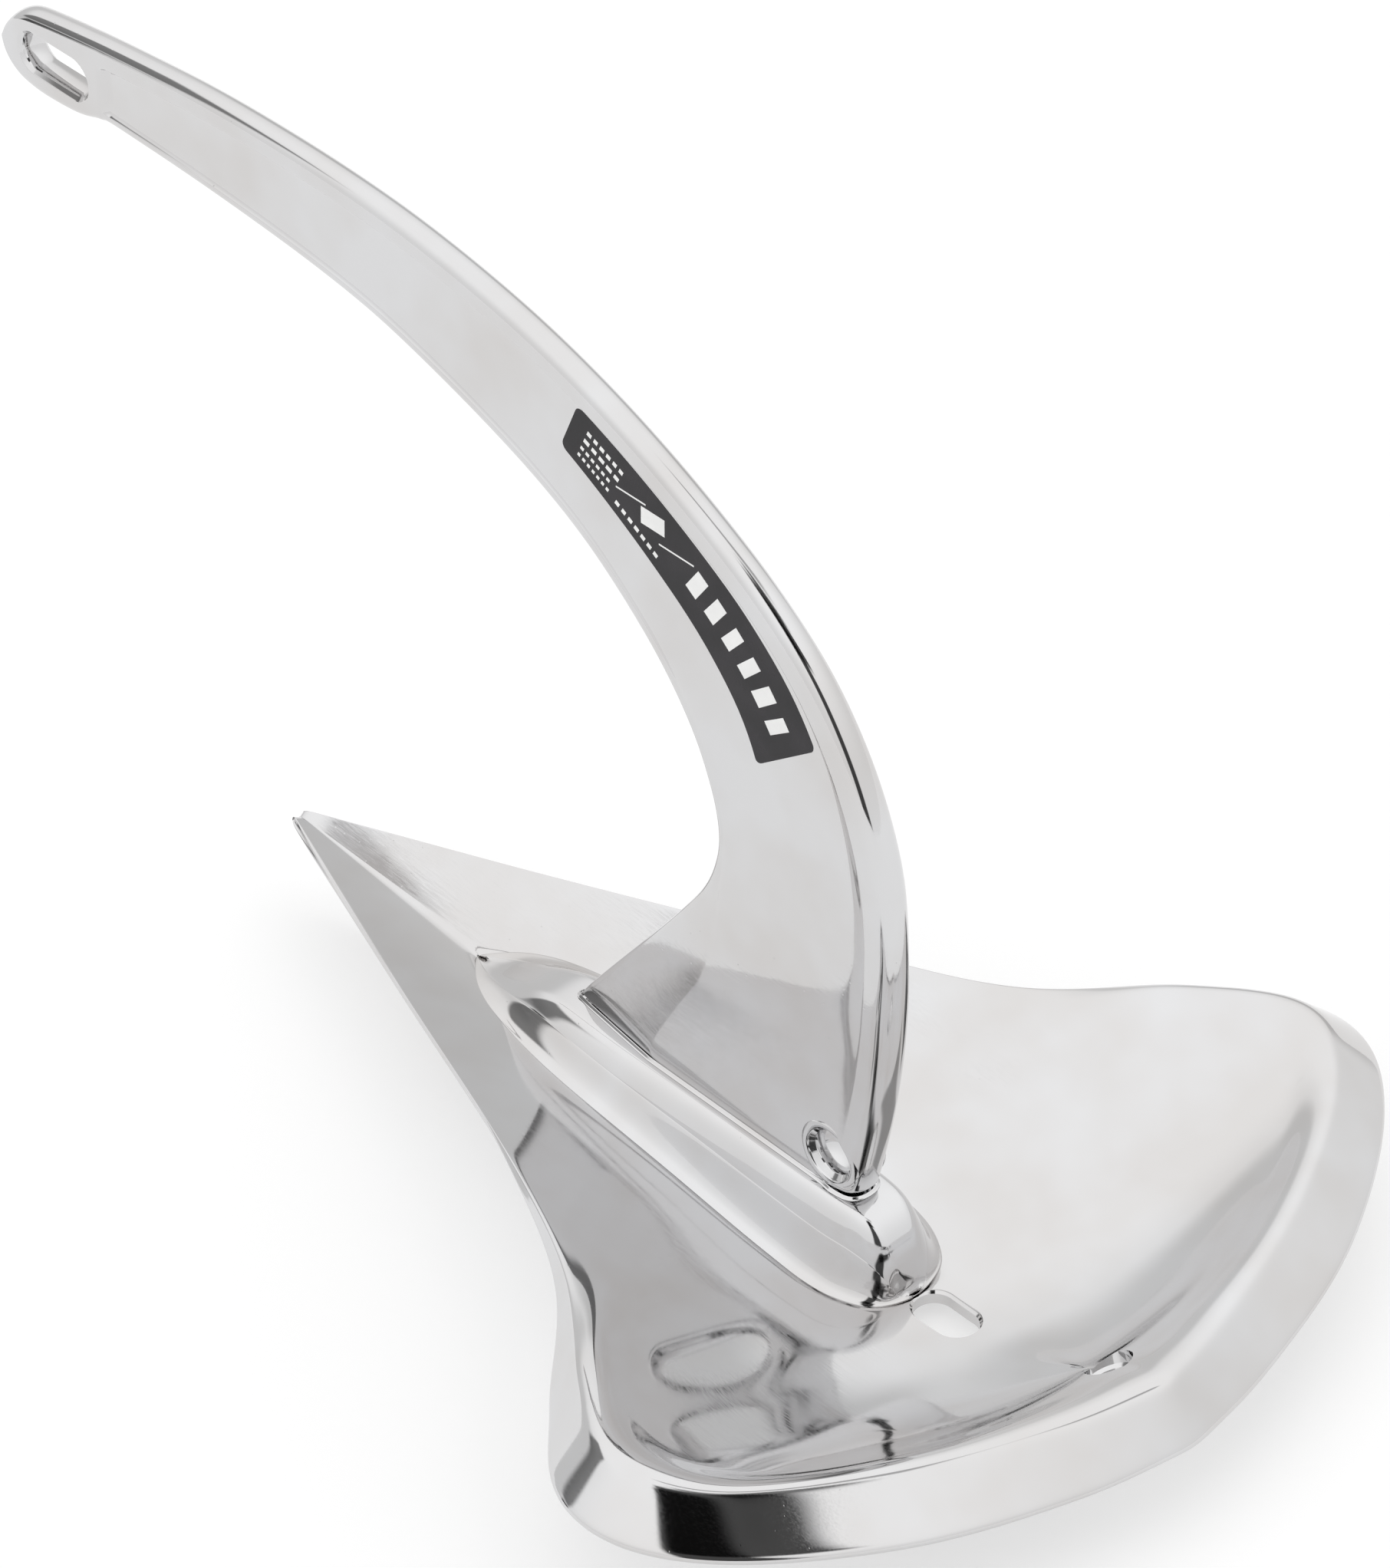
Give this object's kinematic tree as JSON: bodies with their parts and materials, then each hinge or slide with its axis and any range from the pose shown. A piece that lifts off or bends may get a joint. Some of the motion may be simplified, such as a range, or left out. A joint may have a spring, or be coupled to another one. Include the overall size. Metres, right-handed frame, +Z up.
{
  "type": "scoop anchor",
  "caption": "One-piece boat anchor with an arched I-section shank, a slotted eye, and a pointed concave scoop fluke with a flared rear skirt.",
  "frame": {"origin": "centre of the bounding box in plan, at the underside of the keel", "axes": "+Z up when the fluke lies level, +X from the toe and eye towards the heel, +Y to starboard; the part is mirror-symmetric about Y = 0"},
  "size_m": [0.4952, 0.3034, 0.2761],
  "materials": {
    "polished_casting": "mirror-polished cast stainless steel",
    "polished_plate": "mirror-polished stainless steel plate",
    "polished_bead": "ground and polished weld bead",
    "black_label": "gloss black foil with plain white markings"
  },
  "bodies": {
    "root": {"shank": "polished_casting", "foot_weld": "polished_bead", "keel": "polished_casting", "keel_weld": "polished_bead", "fluke_blade": "polished_plate", "heel_skirt": "polished_plate", "toe_ballast": "polished_casting", "rating_plate_port": "black_label", "rating_plate_starboard": "black_label"}
  },
  "joints": []
}
